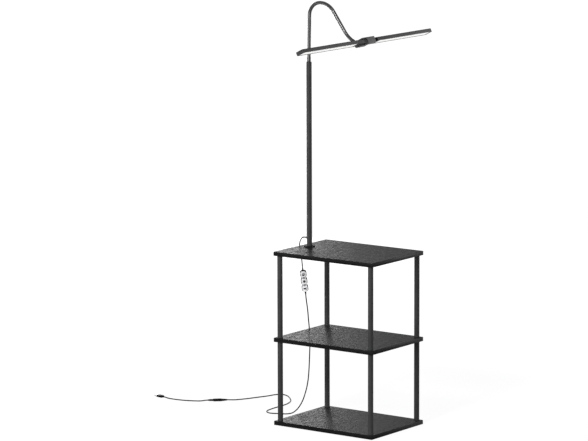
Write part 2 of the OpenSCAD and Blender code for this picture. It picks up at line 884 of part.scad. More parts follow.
// Controller, drawn standing up about its centre with its face towards -Y
module at_controller() {
    translate(controller_place) rotate([controller_lean, 0, 0])
        rotate([0, 0, controller_yaw]) children();
}
module slab(y0, y1) {
    translate([0, y1, 0]) rotate([90, 0, 0]) linear_extrude(y1 - y0) children();
}
module lobes(inset) {
    for (i = [-1:1])
        translate([0, i * lobe_pitch])
            rounded(lobe_w - 2 * inset, lobe_h - 2 * inset, lobe_r - inset);
    square([lobe_w - 2 * (waist_in + inset), 2 * lobe_pitch], center = true);
}
module controller_back() {
    color(black)
        at_controller() {
            difference() {
                slab(0, half_t) lobes(0);
                slab(-cut, half_t - shell_wall) lobes(front_rim + shell_wall);
            }
            for (z = [-lobe_pitch / 2, lobe_pitch / 2])
                translate([0, 0, z])
                    slab(board_y + board_pcb_t, half_t - shell_wall + 0.1) circle(r = post_r);
            for (a = [0, 180])
                rotate([0, a, 0]) translate([0, 0, controller_half - 0.6])
                    cylinder(r1 = relief_r, r2 = cord_r + 0.5, h = relief_l + 0.6);
        }
}
module controller_front() {
    color(white)
        at_controller()
            difference() {
                slab(-half_t, 0) lobes(front_rim);
                slab(-half_t + shell_wall, cut) lobes(front_rim + shell_wall);
                for (i = [-1:1])
                    translate([0, 0, i * lobe_pitch])
                        slab(-half_t - cut, 0) circle(r = button_r + button_gap);
                for (z = [-lobe_pitch / 2, lobe_pitch / 2])
                    translate([0, 0, z])
                        slab(-half_t - cut, -half_t + window_depth)
                            rounded(window_w, window_h, window_r);
            }
}
module controller_board() {
    color([0.1, 0.35, 0.2])
        at_controller() {
            slab(board_y, board_y + board_pcb_t)
                square([board_pcb_w, 2 * lobe_pitch + switch_w + 4], center = true);
            for (i = [-1:1])
                translate([0, 0, i * lobe_pitch])
                    slab(board_y - switch_h, board_y + 0.1)
                        square([switch_w, switch_w], center = true);
        }
}
module button(i) {
    flange_y = -half_t + shell_wall + flange_gap;
    color(white)
        at_controller()
            translate([0, 0, i * lobe_pitch]) {
                slab(-half_t - button_proud, flange_y + 0.1) circle(r = button_r);
                slab(flange_y, flange_y + button_flange_t) circle(r = button_flange_r);
                slab(flange_y, board_y - switch_h - button_travel - 0.1) circle(r = button_stem_r);
            }
}

// Coupling and plug
module coupling() {
    r = coupling_d / 2;
    color(black)
        translate(coupling_place) rotate([0, 0, coupling_turn]) rotate([0, 90, 0]) {
            translate([0, 0, -coupling_half])
                cylinder(r1 = coupling_end_r, r2 = r - 0.4, h = coupling_neck);
            translate([0, 0, -coupling_half + coupling_neck])
                cylinder(r = r, h = coupling_half - coupling_neck + coupling_split);
            translate([0, 0, coupling_split + 0.1])
                cylinder(r = coupling_plug_r, h = coupling_half - coupling_taper - coupling_split - 0.1);
            translate([0, 0, coupling_half - coupling_taper])
                cylinder(r1 = coupling_plug_r - 0.4, r2 = coupling_end_r, h = coupling_taper);
        }
}
module usb_plug() {
    shell_x = usb_relief_l + usb_body_l;
    color(black)
        translate(usb_place) rotate([0, 0, usb_turn]) rotate([90, 0, 90]) {
            cylinder(r1 = cord_r + 0.5, r2 = usb_t / 2 - 0.8, h = usb_relief_l);
            translate([0, 0, usb_relief_l])
                linear_extrude(usb_body_l) rounded(usb_w, usb_t, usb_round);
            translate([0, 0, shell_x - 1])
                linear_extrude(usb_shell_l + 1)
                    difference() {
                        square([usb_shell_w, usb_shell_t], center = true);
                        translate([-usb_shell_w / 2 + usb_shell_wall, 0])
                            square([usb_shell_w - 2 * usb_shell_wall, usb_shell_t / 2 - usb_shell_wall]);
                    }
        }
}

bottom_board();
middle_board();
top_board();
board_edging();
leg(-1, -1, board_t, lower_bay_h);  // lower_leg_front_left
leg(1, -1, board_t, lower_bay_h);  // lower_leg_front_right
leg(-1, 1, board_t, lower_bay_h);  // lower_leg_back_left
leg(1, 1, board_t, lower_bay_h);  // lower_leg_back_right
leg(-1, -1, upper_z, upper_bay_h);  // upper_leg_front_left
leg(1, -1, upper_z, upper_bay_h);  // upper_leg_front_right
leg(-1, 1, upper_z, upper_bay_h);  // upper_leg_back_left
leg(1, 1, upper_z, upper_bay_h);  // upper_leg_back_right
leg_plugs();
top_inserts();
leg_studs();
bottom_screws();
pole_flange();
pole_tube();
pole_plug();
pole_stud();
pole_washer();
pole_nut();
pole_bush();
cord_grommet();
inner_lead();
neck_foot();
neck_link(0, bend_at[0], true, false);  // neck_lower
neck_link(bend_at[0], bend_at[1], true, true);  // neck_rise_top
neck_link(bend_at[1], bend_at[2], true, true);  // neck_arch
neck_link(bend_at[2], bend_at[3], true, true);  // neck_slope
neck_link(bend_at[3], neck_stop, false, true);  // neck_end_run
neck_ferrule();
tilt_screw();
tilt_nut();
hub_body();
hub_cover();
hub_screws();
fold_screws();
fold_washers();
wing_hinge("left");  // left_wing_hinge
wing_housing("left");  // left_wing_housing
wing_strip("left");  // left_wing_strip
wing_diffuser("left");  // left_wing_diffuser
wing_end_cap("left");  // left_wing_end_cap
wing_hinge("right");  // right_wing_hinge
wing_housing("right");  // right_wing_housing
wing_strip("right");  // right_wing_strip
wing_diffuser("right");  // right_wing_diffuser
wing_end_cap("right");  // right_wing_end_cap
controller_back();
controller_front();
controller_board();
button(1);  // power_button
button(0);  // brighter_button
button(-1);  // dimmer_button
color(black) swept(UPPER, cord_r);  // cord_upper
color(black) swept(LOWER, cord_r);  // cord_lower
color(black) swept(TAIL, cord_r);  // cord_tail
coupling();
usb_plug();
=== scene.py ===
"""Looks of the side-table floor lamp: black laminate shelves on tube legs, a pole, a gooseneck
and a folding two-wing strip light. Everything is in metres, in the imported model's own frame."""

import json
import math

import bmesh
import bpy
from mathutils import Matrix, Vector


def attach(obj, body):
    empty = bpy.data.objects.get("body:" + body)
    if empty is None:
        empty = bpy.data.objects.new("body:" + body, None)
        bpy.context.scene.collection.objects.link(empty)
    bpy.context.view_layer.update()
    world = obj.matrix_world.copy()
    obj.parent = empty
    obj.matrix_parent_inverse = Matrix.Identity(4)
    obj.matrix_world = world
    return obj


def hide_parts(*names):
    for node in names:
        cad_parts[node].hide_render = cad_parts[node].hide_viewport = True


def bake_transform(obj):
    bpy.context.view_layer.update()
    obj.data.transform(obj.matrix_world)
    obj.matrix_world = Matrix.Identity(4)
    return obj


MM = 0.001

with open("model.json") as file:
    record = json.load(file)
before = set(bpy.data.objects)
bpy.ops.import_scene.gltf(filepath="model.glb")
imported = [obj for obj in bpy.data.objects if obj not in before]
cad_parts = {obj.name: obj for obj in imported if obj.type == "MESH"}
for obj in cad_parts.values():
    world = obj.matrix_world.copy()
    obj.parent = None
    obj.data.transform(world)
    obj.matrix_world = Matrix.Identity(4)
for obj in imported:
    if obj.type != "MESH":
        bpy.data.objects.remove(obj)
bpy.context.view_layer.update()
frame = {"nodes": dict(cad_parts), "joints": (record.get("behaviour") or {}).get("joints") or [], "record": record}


# Camera

PHOTO_WIDTH = 588
FOCAL_PIXELS = 3708.0
SENSOR_WIDTH = 36.0
VIEW_AZIMUTH = math.radians(36.173)
VIEW_ELEVATION = math.radians(9.349)
VIEW_ROLL = math.radians(-0.19)
VIEW_DISTANCE = 12.3328
VIEW_SIDE = -0.1808
VIEW_HEIGHT = 0.6943


def add_camera():
    flat = math.cos(VIEW_ELEVATION)
    back = Vector((math.sin(VIEW_AZIMUTH) * flat, -math.cos(VIEW_AZIMUTH) * flat, math.sin(VIEW_ELEVATION)))
    right = Vector((math.cos(VIEW_AZIMUTH), math.sin(VIEW_AZIMUTH), 0))
    up = back.cross(right)
    tilted_right = right * math.cos(VIEW_ROLL) + up * math.sin(VIEW_ROLL)
    tilted_up = up * math.cos(VIEW_ROLL) - right * math.sin(VIEW_ROLL)
    data = bpy.data.cameras.new("camera")
    data.sensor_width = SENSOR_WIDTH
    data.lens = FOCAL_PIXELS / PHOTO_WIDTH * SENSOR_WIDTH
    data.clip_end = 60
    camera = bpy.data.objects.new("camera", data)
    turn = Matrix((tilted_right, tilted_up, back)).transposed().to_4x4()
    place = Vector((0, 0, VIEW_HEIGHT)) + back * VIEW_DISTANCE + right * VIEW_SIDE
    camera.matrix_world = Matrix.Translation(place) @ turn
    bpy.context.scene.collection.objects.link(camera)
    bpy.context.scene.camera = camera


add_camera()


# Materials

def new_group(name, inputs, outputs):
    """A shader node group with named inputs (name, default) and outputs (name, kind)."""
    group = bpy.data.node_groups.new(name, "ShaderNodeTree")
    group.interface.new_socket("Coordinates", in_out="INPUT", socket_type="NodeSocketVector")
    for label, default in inputs:
        socket = group.interface.new_socket(label, in_out="INPUT", socket_type="NodeSocketFloat")
        socket.default_value = default
    for label in outputs:
        group.interface.new_socket(label, in_out="OUTPUT", socket_type="NodeSocketFloat")
    return group, group.nodes.new("NodeGroupInput"), group.nodes.new("NodeGroupOutput")


def maths(group, operation, a, b):
    node = group.nodes.new("ShaderNodeMath")
    node.operation = operation
    for k, value in enumerate((a, b)):
        if isinstance(value, (int, float)):
            node.inputs[k].default_value = value
        else:
            group.links.new(value, node.inputs[k])
    return node.outputs[0]


def moulded_grain_group():
    """Fine even grain: Tone drifts slowly over the surface and Height is the fine texture."""
    group, into, out = new_group(
        "moulded_grain", [("Grain", 1500.0), ("Drift", 18.0)], ["Tone", "Height"]
    )
    fine = group.nodes.new("ShaderNodeTexNoise")
    fine.inputs["Detail"].default_value = 3
    slow = group.nodes.new("ShaderNodeTexNoise")
    slow.inputs["Detail"].default_value = 4
    slow.inputs["Roughness"].default_value = 0.6
    for node, scale in ((fine, "Grain"), (slow, "Drift")):
        group.links.new(into.outputs["Coordinates"], node.inputs["Vector"])
        group.links.new(into.outputs[scale], node.inputs["Scale"])
    mixed = maths(group, "ADD", maths(group, "MULTIPLY", slow.outputs["Fac"], 0.7),
                  maths(group, "MULTIPLY", fine.outputs["Fac"], 0.3))
    group.links.new(mixed, out.inputs["Tone"])
    group.links.new(fine.outputs["Fac"], out.inputs["Height"])
    return group


def pebble_group():
    """Pebbled laminate: rounded cells with soft valleys, lying on shallow waves, and a slow
    change in tone."""
    group, into, out = new_group(
        "pebble_grain", [("Pebbles", 420.0), ("Drift", 30.0), ("Waves", 70.0)], ["Tone", "Height"]
    )
    bend = group.nodes.new("ShaderNodeTexNoise")
    bend.inputs["Scale"].default_value = 160
    shift = group.nodes.new("ShaderNodeVectorMath")
    shift.operation = "SCALE"
    shift.inputs["Scale"].default_value = 0.004
    moved = group.nodes.new("ShaderNodeVectorMath")
    moved.operation = "ADD"
    cells = group.nodes.new("ShaderNodeTexVoronoi")
    cells.feature = "SMOOTH_F1"
    cells.inputs["Smoothness"].default_value = 0.6
    slow = group.nodes.new("ShaderNodeTexNoise")
    slow.inputs["Detail"].default_value = 5
    slow.inputs["Roughness"].default_value = 0.7
    waves = group.nodes.new("ShaderNodeTexNoise")
    waves.inputs["Detail"].default_value = 1
    group.links.new(into.outputs["Coordinates"], bend.inputs["Vector"])
    group.links.new(bend.outputs["Color"], shift.inputs["Vector"])
    group.links.new(into.outputs["Coordinates"], moved.inputs[0])
    group.links.new(shift.outputs["Vector"], moved.inputs[1])
    group.links.new(moved.outputs["Vector"], cells.inputs["Vector"])
    group.links.new(into.outputs["Pebbles"], cells.inputs["Scale"])
    group.links.new(into.outputs["Coordinates"], slow.inputs["Vector"])
    group.links.new(into.outputs["Drift"], slow.inputs["Scale"])
    group.links.new(into.outputs["Coordinates"], waves.inputs["Vector"])
    group.links.new(into.outputs["Waves"], waves.inputs["Scale"])
    dome = maths(group, "SUBTRACT", 1.0, cells.outputs["Distance"])
    wavy = maths(group, "ADD", maths(group, "MULTIPLY", waves.outputs["Fac"], 0.6),
                 maths(group, "MULTIPLY", slow.outputs["Fac"], 0.4))
    tone = maths(group, "ADD", maths(group, "MULTIPLY", wavy, 0.8), maths(group, "MULTIPLY", dome, 0.2))
    height = maths(group, "ADD", maths(group, "MULTIPLY", waves.outputs["Fac"], 5.0), dome)
    group.links.new(tone, out.inputs["Tone"])
    group.links.new(height, out.inputs["Height"])
    return group


GRAIN = moulded_grain_group()
PEBBLE = pebble_group()
# The part of a grain's tone that is stretched from dark to light
TONE_SPREAD = (0.35, 0.65)


def finish(name, dark, light, roughness, grain=GRAIN, scales=(1500.0, 18.0), depth=0.02,
           metallic=0.0, specular=0.5, glow=0.0):
    """A material whose colour runs from dark to light, and whose roughness runs over its range,
    with a grain group's tone; the grain's height gives a relief of depth, in millimetres."""
    material = bpy.data.materials.new(name)
    material.use_nodes = True
    nodes, links = material.node_tree.nodes, material.node_tree.links
    shader = nodes["Principled BSDF"]
    where = nodes.new("ShaderNodeTexCoord")
    pattern = nodes.new("ShaderNodeGroup")
    pattern.node_tree = grain
    for socket, value in zip(list(pattern.inputs)[1:], scales):
        socket.default_value = value
    links.new(where.outputs["Object"], pattern.inputs["Coordinates"])
    ramp = nodes.new("ShaderNodeMapRange")
    ramp.inputs["From Min"].default_value, ramp.inputs["From Max"].default_value = TONE_SPREAD
    links.new(pattern.outputs["Tone"], ramp.inputs["Value"])
    colour = nodes.new("ShaderNodeMix")
    colour.data_type = "RGBA"
    colour.inputs["A"].default_value = (*dark, 1)
    colour.inputs["B"].default_value = (*light, 1)
    links.new(ramp.outputs["Result"], colour.inputs["Factor"])
    links.new(colour.outputs["Result"], shader.inputs["Base Color"])
    rough = nodes.new("ShaderNodeMapRange")
    rough.inputs["To Min"].default_value, rough.inputs["To Max"].default_value = roughness
    links.new(ramp.outputs["Result"], rough.inputs["Value"])
    links.new(rough.outputs["Result"], shader.inputs["Roughness"])
    bump = nodes.new("ShaderNodeBump")
    bump.inputs["Strength"].default_value = 1
    bump.inputs["Distance"].default_value = depth * MM
    links.new(pattern.outputs["Height"], bump.inputs["Height"])
    links.new(bump.outputs["Normal"], shader.inputs["Normal"])
    shader.inputs["Metallic"].default_value = metallic
    shader.inputs["Specular IOR Level"].default_value = specular
    if glow:
        links.new(colour.outputs["Result"], shader.inputs["Emission Color"])
        shader.inputs["Emission Strength"].default_value = glow
    return material


def grey(value):
    return (value, value, value * 1.02)


LAMINATE = finish(
    "black_laminate", grey(0.007), grey(0.028), (0.32, 0.54), PEBBLE, (260.0, 30.0, 70.0), 0.2,
    specular=0.009)
EDGE_BAND = finish("edge_band", grey(0.002), grey(0.004), (0.34, 0.46), specular=0.05)
FLANGE_COAT = finish(
    "flange_coat", grey(0.008), grey(0.014), (0.5, 0.6), scales=(1100.0, 14.0), specular=0.006)
POWDER_COAT = finish(
    "powder_coat", grey(0.028), grey(0.040), (0.3, 0.38), scales=(1100.0, 14.0), specular=0.04)
ZINC = finish("zinc_plate", grey(0.40), grey(0.58), (0.24, 0.4), scales=(900.0, 60.0), metallic=1.0)
BLACK_OXIDE = finish(
    "black_oxide", grey(0.012), grey(0.024), (0.3, 0.44), scales=(900.0, 60.0), specular=0.3)
BLACK_PLASTIC = finish(
    "black_plastic", grey(0.010), grey(0.018), (0.36, 0.5), scales=(1400.0, 30.0), specular=0.2)
# The hinges' own black, made darker than the other black plastic as painted shade in the gaps round them
HINGE_SHADE_BLACK = finish(
    "hinge_shade_black", grey(0.004), grey(0.008), (0.4, 0.5), scales=(1400.0, 30.0), specular=0.05)
# Lit grey for the hub's outer flanks; the black on the rest of the hub is painted shade
HUB_LIT_FLANK = finish(
    "hub_lit_flank", grey(0.085), grey(0.12), (0.36, 0.5), scales=(1400.0, 30.0), specular=0.2)
NECK_SKIN = finish(
    "neck_skin", grey(0.005), grey(0.010), (0.16, 0.22), scales=(1200.0, 25.0), depth=0.01)
WING_ALLOY = finish(
    "wing_alloy", grey(0.040), grey(0.060), (0.34, 0.46), scales=(900.0, 12.0), specular=0.2)
# Painted shade: near-black strips along the wings' rounded upper edges
WING_EDGE_SHADE = finish(
    "wing_edge_shade", grey(0.003), grey(0.006), (0.4, 0.5), scales=(900.0, 12.0), specular=0.03)
LIGHT_BOARD = finish("light_board", grey(0.72), grey(0.86), (0.4, 0.6), scales=(600.0, 40.0))
OPAL = finish("opal_diffuser", (0.9, 0.9, 0.88), (0.96, 0.96, 0.95), (0.28, 0.36), glow=0.45)
WHITE_SHELL = finish("white_shell", grey(0.93), grey(0.97), (0.28, 0.4), scales=(1600.0, 40.0))
WHITE_CAP = finish("white_cap", grey(0.91), grey(0.96), (0.3, 0.42), scales=(1600.0, 60.0))
BLACK_MARK = finish("black_mark", grey(0.004), grey(0.008), (0.35, 0.5), specular=0.05)
CIRCUIT = finish(
    "circuit_board", (0.01, 0.09, 0.04), (0.02, 0.16, 0.07), (0.3, 0.45), scales=(800.0, 90.0))
JACKET = finish(
    "cord_jacket", grey(0.003), grey(0.006), (0.42, 0.58), scales=(1300.0, 50.0), specular=0.03)


# Shared making

def link(name, mesh):
    piece = bpy.data.objects.new(name, mesh)
    bpy.context.scene.collection.objects.link(piece)
    return piece


def smooth(mesh, angle=35):
    for polygon in mesh.polygons:
        polygon.use_smooth = True
    mesh.set_sharp_from_angle(angle=math.radians(angle))


def dress(piece, material, body):
    piece.data.materials.clear()
    piece.data.materials.append(material)
    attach(piece, body)
    return piece


def body_of(node):
    for body, members in frame["record"]["behaviour"]["bodies"].items():
        if node in members:
            return body
    raise KeyError(node)


def joint_place(name):
    for joint in frame["joints"]:
        if joint["name"] == name:
            return Vector(joint["pos_m"])
    raise KeyError(name)


def finish_node(node, material):
    """The CAD node stays as it is and takes a better material."""
    piece = frame["nodes"][node]
    if not piece.material_slots:
        piece.data.materials.append(material)
    for place in piece.material_slots:
        place.material = material
    return piece


# A node's mesh before its edges are rounded: points this near are one, faces within the flat
# angle are joined, and edges past the sharp angle are rounded
WELD_DISTANCE = 0.002 * MM
FLAT_ANGLE = math.radians(0.4)
SHARP_ANGLE = math.radians(32)


def rounded_node(node, material, width, segments=2):
    """A copy of the CAD node with its sharp edges rounded over by width, in millimetres."""
    form = bmesh.new()
    form.from_mesh(frame["nodes"][node].data)
    bmesh.ops.remove_doubles(form, verts=form.verts, dist=WELD_DISTANCE)
    bmesh.ops.dissolve_limit(form, angle_limit=FLAT_ANGLE, verts=form.verts, edges=form.edges)
    sharp = [
        edge for edge in form.edges
        if len(edge.link_faces) == 2 and edge.calc_face_angle(0) > SHARP_ANGLE
    ]
    bmesh.ops.bevel(
        form, geom=sharp, offset=width * MM, segments=segments, profile=0.5,
        affect="EDGES", clamp_overlap=True
    )
    mesh = bpy.data.meshes.new(node + "_rounded")
    form.to_mesh(mesh)
    form.free()
    smooth(mesh)
    piece = link(node + "_rounded", mesh)
    dress(piece, material, body_of(node))
    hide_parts(node)
    return piece


def paint(piece, material, place, chosen):
    """Gives another finish to the faces that chosen(centre, normal) picks, in place's axes and
    in millimetres."""
    piece.data.materials.append(material)
    number = len(piece.data.materials) - 1
    back = place.inverted()
    for face in piece.data.polygons:
        if chosen(back @ face.center / MM, back.to_3x3() @ face.normal):
            face.material_index = number


def printed(name, outlines, low, high, place, material, body):
    """Flat shapes drawn in place's X and Z, in millimetres, from depth low out to high."""
    form = bmesh.new()
    for outline in outlines:
        rows = [
            [form.verts.new(place @ (Vector((x, -depth, z)) * MM)) for x, z in outline]
            for depth in (low, high)
        ]
        count = len(outline)
        for k in range(count):
            form.faces.new((rows[0][k], rows[0][(k + 1) % count], rows[1][(k + 1) % count], rows[1][k]))
        form.faces.new(rows[1])
        form.faces.new(list(reversed(rows[0])))
    bmesh.ops.recalc_face_normals(form, faces=form.faces)
    mesh = bpy.data.meshes.new(name)
    form.to_mesh(mesh)
    form.free()
    return dress(link(name, mesh), material, body)


# Cord

CORD_RADIUS = 2.0 * MM
CORD_UPPER = [
    (-170.8, 0, 620), (-176, 0, 620), (-182, 0.5, 619.8), (-188, 1.5, 618.2),
    (-194, 3, 615), (-199.5, 5, 609.5), (-204, 7, 602.5), (-207.5, 9, 594),
    (-209.5, 12.5, 582), (-210.5, 17.5, 566), (-211.5, 23.5, 549), (-213.5, 30, 531),
    (-215.5, 35.2, 515), (-216, 37.2, 505.7),
]
CORD_LOWER = [
    (-216, 54.8, 414.3), (-217, 58.5, 398), (-217, 67, 358), (-215, 69, 325), (-212, 70, 290),
    (-210, 70, 250), (-210, 68, 200), (-210, 64, 150), (-211, 61, 120), (-214, 57, 92),
    (-219, 53, 68), (-225, 49, 47), (-233, 43, 28), (-242, 35, 13), (-250, 24, 4.5),
    (-257, 15, 2.2), (-265, 4, 2.05), (-278, -3, 2.05), (-293, -8, 2.05), (-306, -14, 2.05),
    (-318, -16, 2.05), (-330, -11, 2.05), (-341, -1, 2.05), (-348, 15, 2.05), (-352, 45, 2.05),
    (-353, 75, 2.05), (-353, 110, 2.05), (-358, 145, 2.05), (-374, 182, 2.05), (-393, 206, 2.05),
    (-412, 226, 2.05), (-432, 243, 2.05), (-452, 252, 2.05), (-470, 249, 2.05), (-481, 232, 2.05),
    (-487, 208, 2.05), (-504, 165, 2.05), (-527, 112, 2.05), (-542, 82, 3), (-556.8, 60.8, 5.1),
]
CORD_TAIL = [
    (-607.2, 17.6, 5.1), (-614, 11.8, 4.7), (-626, 3, 2.6), (-642, -6, 2.05), (-662, -15, 2.05),
    (-684, -22, 2.05), (-708, -26, 2.05), (-732, -27, 2.05), (-750, -26.3, 2.5),
    (-760, -24.9, 3.7), (-768, -23.5, 3.9),
]


def eased(points, per_span=6):
    """Points along a smooth line through the route's points."""
    ends = [2 * points[0] - points[1]] + points + [2 * points[-1] - points[-2]]
    line = []
    for k in range(1, len(ends) - 2):
        before, start, stop, after = ends[k - 1:k + 3]
        spans = [math.sqrt((b - a).length) for a, b in ((before, start), (start, stop), (stop, after))]
        leave = ((start - before) / spans[0] - (stop - before) / (spans[0] + spans[1])
                 + (stop - start) / spans[1]) * spans[1]
        arrive = ((stop - start) / spans[1] - (after - start) / (spans[1] + spans[2])
                  + (after - stop) / spans[2]) * spans[1]
        for step in range(per_span):
            t = step / per_span
            line.append(
                start * (2 * t**3 - 3 * t**2 + 1) + leave * (t**3 - 2 * t**2 + t)
                + stop * (3 * t**2 - 2 * t**3) + arrive * (t**3 - t**2)
            )
    return line + [points[-1]]


def cord(name, route, node):
    """One free stretch of cord along its route, as a smooth curve; returns it and its line."""
    line = eased([Vector(p) * MM for p in route])
    data = bpy.data.curves.new(name, "CURVE")
    data.dimensions = "3D"
    data.bevel_depth = CORD_RADIUS
    data.bevel_resolution = 5
    data.use_fill_caps = True
    spline = data.splines.new("POLY")
    spline.points.add(len(line) - 1)
    for point, place in zip(spline.points, line):
        point.co = (*place, 1)
    spline.use_smooth = True
    piece = link(name, data)
    dress(piece, JACKET, "base")
    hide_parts(node)
    return piece, line


# Table

def make_table():
    for board in ("bottom_board", "middle_board", "top_board"):
        finish_node(board, LAMINATE)
    rounded_node("board_edging", EDGE_BAND, 0.35)
    for row in ("lower_leg", "upper_leg"):
        for side in ("front_left", "front_right", "back_left", "back_right"):
            finish_node(f"{row}_{side}", POWDER_COAT)
    for fastener in ("leg_plugs", "top_inserts", "leg_studs"):
        finish_node(fastener, ZINC)
    rounded_node("bottom_screws", ZINC, 0.15)


# Pole

def make_pole():
    rounded_node("pole_flange", FLANGE_COAT, 0.8, 3)
    finish_node("pole_tube", POWDER_COAT)
    finish_node("pole_plug", ZINC)
    finish_node("pole_stud", ZINC)
    rounded_node("pole_washer", ZINC, 0.2)
    rounded_node("pole_nut", ZINC, 0.35)
    rounded_node("pole_bush", BLACK_PLASTIC, 0.5, 3)
    rounded_node("cord_grommet", BLACK_PLASTIC, 0.4, 3)
    finish_node("inner_lead", JACKET)


# Gooseneck

NECK_RADIUS = 6 * MM
NECK_START = Vector((-160, 0, 1216)) * MM
NECK_HEADING = 89.0
# Straight runs (length, 0) and bends (radius, angle), where a positive angle turns down
NECK_MOVES = [(154, 0), (45, 85), (64, 58.5), (78, 0), (90, -19), (25, 0)]
NECK_RIB_PITCH = 2.0 * MM
NECK_RIB_DEPTH = 0.02 * MM
NECK_STEP = NECK_RIB_PITCH / 6
NECK_SIDES = 30


def heading_vector(degrees):
    return Vector((math.cos(math.radians(degrees)), 0, math.sin(math.radians(degrees))))


def move_length(move):
    size, angle = move
    return (size if angle == 0 else size * abs(math.radians(angle))) * MM


def neck_line():
    """(distance, place, heading) every NECK_STEP along the gooseneck."""
    line = [(0.0, NECK_START.copy(), NECK_HEADING)]
    for move in NECK_MOVES:
        angle = move[1]
        length = move_length(move)
        steps = max(1, round(length / NECK_STEP))
        for _ in range(steps):
            distance, place, heading = line[-1]
            turned = heading - angle / steps
            step = heading_vector((heading + turned) / 2) * (length / steps)
            line.append((distance + length / steps, place + step, turned))
    return line


NECK_LINE = neck_line()


def neck_at(distance):
    return min(NECK_LINE, key=lambda spot: abs(spot[0] - distance))


def neck_skin_mesh(name, spots, open_start, open_end):
    """A tube along the spots whose one rib winds round it as a screw thread does."""
    form = bmesh.new()
    rings = []
    for distance, place, heading in spots:
        up = heading_vector(heading + 90)
        ring = []
        for k in range(NECK_SIDES):
            turn = 2 * math.pi * k / NECK_SIDES
            wound = math.cos(2 * math.pi * distance / NECK_RIB_PITCH - turn)
            radius = NECK_RADIUS - NECK_RIB_DEPTH * (0.5 - 0.5 * wound)
            outwards = Vector((0, math.cos(turn), 0)) + up * math.sin(turn)
            ring.append(form.verts.new(place + outwards * radius))
        rings.append(ring)
    for low, high in zip(rings, rings[1:]):
        for k in range(NECK_SIDES):
            form.faces.new((low[k], low[(k + 1) % NECK_SIDES], high[(k + 1) % NECK_SIDES], high[k]))
    if not open_start:
        form.faces.new(list(reversed(rings[0])))
    if not open_end:
        form.faces.new(rings[-1])
    bmesh.ops.recalc_face_normals(form, faces=form.faces)
    mesh = bpy.data.meshes.new(name)
    form.to_mesh(mesh)
    form.free()
    smooth(mesh, 50)
    return mesh


def make_neck():
    """The gooseneck's skin in four pieces, each cut midway between hinges so that it holds one
    hinge; neighbours share a ring."""
    rounded_node("neck_foot", NECK_SKIN, 0.6, 3)
    rounded_node("neck_ferrule", POWDER_COAT, 0.6, 3)
    rise, near_arch, far_arch, fall = [move_length(move) for move in NECK_MOVES[:4]]
    hinges = [rise / 2, rise, rise + near_arch, rise + near_arch + far_arch + fall / 2]
    middles = [(a + b) / 2 for a, b in zip(hinges, hinges[1:])]
    cuts = [NECK_LINE.index(neck_at(distance)) for distance in (0, *middles, NECK_LINE[-1][0])]
    nodes = [("neck_lower", "neck_rise_top"), ("neck_arch",), ("neck_slope",), ("neck_end_run",)]
    for k, hinge in enumerate(hinges):
        name = f"neck_skin_{k + 1}"
        spots = NECK_LINE[cuts[k]:cuts[k + 1] + 1]
        piece = link(name, neck_skin_mesh(name, spots, k > 0, k < len(hinges) - 1))
        piece.data.materials.append(NECK_SKIN)
        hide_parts(*nodes[k])
        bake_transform(piece)


# Lamp head

# The head's own axes lie midway between the joints that fold its wings, and slope as they do
HEAD_SLOPE = math.radians(-27)
HEAD_PLACE = (
    Matrix.Translation((joint_place("left_wing_fold") + joint_place("right_wing_fold")) / 2)
    @ Matrix.Rotation(HEAD_SLOPE, 4, "Y")
)
WING_HALF_WIDTH = 14.5
HUB_HALF_WIDTH = 18
# How nearly sideways a face on a flank looks, and how near the flank's plane it lies
FLANK_FACING = 0.9
FLANK_MARGIN = 0.2


def on_shaded_long_edges(centre, normal):
    """The slanted strips along a wing's upper edges, which take painted shade."""
    return normal.z > 0.2 and abs(normal.x) > 0.2


def on_wing_flank(centre, normal):
    return abs(normal.x) > FLANK_FACING and abs(centre.x) > WING_HALF_WIDTH - FLANK_MARGIN


def on_hub_lit_flank(centre, normal):
    return abs(normal.x) > FLANK_FACING and abs(centre.x) > HUB_HALF_WIDTH - FLANK_MARGIN


def make_head():
    # The hub's shell is one moulding, grey on its outer flanks and black elsewhere: a lit and a shaded copy, the
    # black in the fold pockets and underneath being painted shade
    for shell, width, segments in (("hub_body", 0.5, 2), ("hub_cover", 0.8, 3)):
        piece = rounded_node(shell, BLACK_PLASTIC, width, segments)
        paint(piece, HUB_LIT_FLANK, HEAD_PLACE, on_hub_lit_flank)
    for fastener in ("hub_screws", "fold_screws", "tilt_screw", "tilt_nut"):
        rounded_node(fastener, BLACK_OXIDE, 0.25)
    finish_node("fold_washers", ZINC)
    for side in ("left", "right"):
        # Each hinge is black with painted shade, except the faces flush with the wing's flank, which take the
        # wing's grey
        hinge = rounded_node(f"{side}_wing_hinge", HINGE_SHADE_BLACK, 0.4, 2)
        paint(hinge, WING_ALLOY, HEAD_PLACE, on_wing_flank)
        housing = rounded_node(f"{side}_wing_housing", WING_ALLOY, 0.25, 2)
        paint(housing, WING_EDGE_SHADE, HEAD_PLACE, on_shaded_long_edges)
        rounded_node(f"{side}_wing_end_cap", BLACK_PLASTIC, 0.8, 3)
        finish_node(f"{side}_wing_strip", LIGHT_BOARD)
        finish_node(f"{side}_wing_diffuser", OPAL)


# Controller, coupling and plug

CONTROLLER_PLACE = (
    Matrix.Translation(Vector((-216, 46, 460)) * MM)
    @ Matrix.Rotation(math.radians(11), 4, "X")
    @ Matrix.Rotation(math.radians(36), 4, "Z")
)
LOBE_PITCH = 25.5
BUTTON_FACE = 6.5
WINDOW_FLOOR = 5.0
SIGN_HEIGHT = 0.06
INLAY_HEIGHT = 0.35
# Faces of the front shell that look this nearly straight out are white, and the rest are black: the black on the
# shell's rounded rim is painted shade
FRONT_FACING = 0.98
# How deep a sign or an inlay sits in what it lies on
PRINT_SINK = 0.02
# The plug begins where the cord's tail ends, and its metal end begins past its body
PLUG_HEADING = math.radians(170)
PLUG_PLACE = (
    Matrix.Translation(Vector(CORD_TAIL[-1]) * MM) @ Matrix.Rotation(PLUG_HEADING, 4, "Z")
)
PLUG_BODY_END = 32.2


def bar(width, height, x=0.0, z=0.0):
    return [
        (x - width / 2, z - height / 2), (x + width / 2, z - height / 2),
        (x + width / 2, z + height / 2), (x - width / 2, z + height / 2),
    ]


